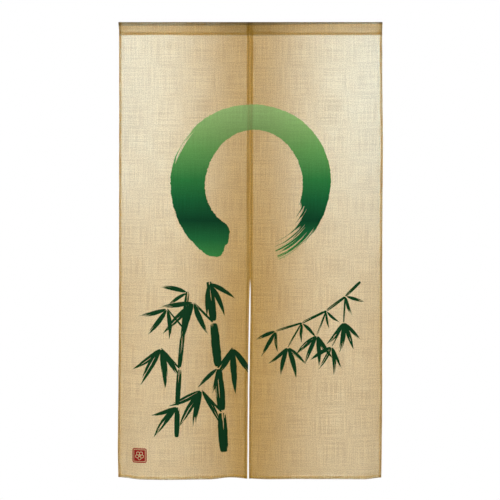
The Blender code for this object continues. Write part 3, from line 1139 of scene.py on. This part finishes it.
def heading_rows():
    """The two rows along the sewn strip under the rod pocket, in front and at the back."""
    along = stitch_places(EDGES[0][1] + HEADING_INSETS[0], EDGES[0][3] - HEADING_INSETS[1])
    parts = []
    for height in (STRIP_TOP - UPPER_ROW, STRIP_BOTTOM + HEM_ROW):
        parts += both_faces(*(np.stack([x, 0 * x + CLOTH_FRONT, 0 * x + height], axis=-1) for x in along))
    return joined(parts)


def seam_whipping():
    """Slanting stitches over the two inner edges down to the slit, and the close bar at its top."""
    bar = SLIT_TOP - BAR_RISE + np.arange(BAR_STITCHES) * BAR_PITCH
    drop = np.concatenate([np.arange(WHIP_START, SLIT_TOP, WHIP_PITCH), bar])
    slant = np.where(drop > SLIT_TOP - LEVEL_RISE, 0.0, WHIP_SLANT)
    meeting = edges_at(-1, drop)[1]
    starts = on_front(-1, meeting - WHIP_REACH, drop - slant / 2)
    ends = on_front(-1, meeting - WHIP_INSET, drop + slant / 2)
    ends[:, 0] += WHIP_REACH + WHIP_INSET
    return joined(both_faces(starts, ends))


thread = thread_material()
sewing = (
    ("hem_stitches_left", hem_rows(-1)),
    ("hem_stitches_right", hem_rows(1)),
    ("heading_stitches", heading_rows()),
    ("seam_stitches", seam_whipping()),
)
for name, (points, faces) in sewing:
    piece = new_piece(name, points, faces, thread)
    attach(piece, "root")

# The floor and the studio
# A pale floor lies under the curtain, out of the camera's frame. A wide soft light stands in front. A high
# and a low one stand close behind the outer half of each cloth, so that these halves glow and the middle
# stays brown.

FLOOR_DROP = 1.95
FLOOR_HALF_WIDTH = 3.2
FLOOR_REACH = (-5.0, 1.8)
FLOOR_COLOUR = (0.86, 0.86, 0.85, 1.0)
FLOOR_ROUGHNESS = 0.9
FILL_COLOUR = (1.0, 0.98, 0.95, 1.0)
FILL_BRIGHTNESS = 0.06
WHITE = (1.0, 1.0, 1.0, 1.0)

floor_material = bpy.data.materials.new("pale_floor")
floor_material.use_nodes = True
floor_inputs = floor_material.node_tree.nodes["Principled BSDF"].inputs
floor_inputs["Base Color"].default_value = FLOOR_COLOUR
floor_inputs["Roughness"].default_value = FLOOR_ROUGHNESS
floor_corners = [(x, y, TOP - FLOOR_DROP) for y in FLOOR_REACH for x in (-FLOOR_HALF_WIDTH, FLOOR_HALF_WIDTH)]
floor = new_piece("floor", np.array(floor_corners), np.array([[0, 1, 3, 2]]), floor_material)

world = bpy.data.worlds.new("studio")
bpy.context.scene.world = world
tree = bare_tree(world)
fill = node(tree, "Background", ((0, FILL_COLOUR), (1, FILL_BRIGHTNESS)))
white = node(tree, "Background", ((0, WHITE), (1, 1.0)))
seen = node(tree, "LightPath").outputs["Is Camera Ray"]
sky = node(tree, "MixShader", ((0, seen), (1, fill.outputs[0]), (2, white.outputs[0])))
node(tree, "OutputWorld", ((0, sky.outputs[0]),))

MIDDLE_HEIGHT = TOP - 0.7355

# The light in front: its place, then width, height, spread, brightness and colour
FRONT_PLACE = (-0.4, -3.4, 0.5)
FRONT_LIGHT = (2.6, 2.6, np.pi, 5.06, (1.0, 0.95, 0.80))

# The lights behind each cloth: place across, distance behind, drop of the middle, width, height, angle over
# which a grid on the light lets it fan out, brightness, colour. The right one of the high pair is a little
# brighter.
BACK_LIGHTS = {
    "high": (0.480, 0.700, 0.066, 0.192, 1.111, 1.438, 5.34, (0.384, 0.744, 1.0)),
    "low": (0.298, 0.315, 0.783, 0.356, 1.800, 1.402, 1.54, (0.745, 0.959, 1.0)),
}
RIGHT_HIGH_SHARE = 1.12


def soft_light(name, place, facing, width, height, spread, brightness, colour):
    """A rectangular light that faces a point. Its power is pi times its area times its brightness."""
    lamp = bpy.data.lights.new(name, "AREA")
    lamp.shape = "RECTANGLE"
    lamp.size, lamp.size_y = width, height
    lamp.spread = spread
    lamp.energy = np.pi * width * height * brightness
    lamp.color = colour
    light = bpy.data.objects.new(name, lamp)
    bpy.context.collection.objects.link(light)
    light.location = place
    light.rotation_euler = (Vector(facing) - Vector(place)).to_track_quat("-Z", "Y").to_euler()
    light.visible_camera = False


soft_light("front_light", FRONT_PLACE, (0.0, 0.0, MIDDLE_HEIGHT), *FRONT_LIGHT)
for row, (across, behind, drop, width, height, spread, brightness, colour) in BACK_LIGHTS.items():
    for side, hand in ((-1, "left"), (1, "right")):
        place = (side * across, behind, TOP - drop)
        facing = (side * across, 0.0, TOP - drop)
        share = RIGHT_HIGH_SHARE if (row, hand) == ("high", "right") else 1.0
        soft_light(f"{row}_light_{hand}", place, facing, width, height, spread, share * brightness, colour)

# The camera
# It stands level with the curtain's middle and looks straight at it.

CAMERA_DISTANCE = 4.2
CAMERA_ACROSS = -0.0019
FRAME_WIDTH = 1.613
SENSOR_WIDTH = 36.0

camera_data = bpy.data.cameras.new("camera")
camera_data.sensor_width = SENSOR_WIDTH
camera_data.lens = SENSOR_WIDTH * CAMERA_DISTANCE / FRAME_WIDTH
camera = bpy.data.objects.new("camera", camera_data)
bpy.context.collection.objects.link(camera)
camera.location = (CAMERA_ACROSS, -CAMERA_DISTANCE, MIDDLE_HEIGHT)
camera.rotation_euler = (np.pi / 2, 0.0, 0.0)
bpy.context.scene.camera = camera
bpy.context.scene.view_settings.view_transform = "Standard"
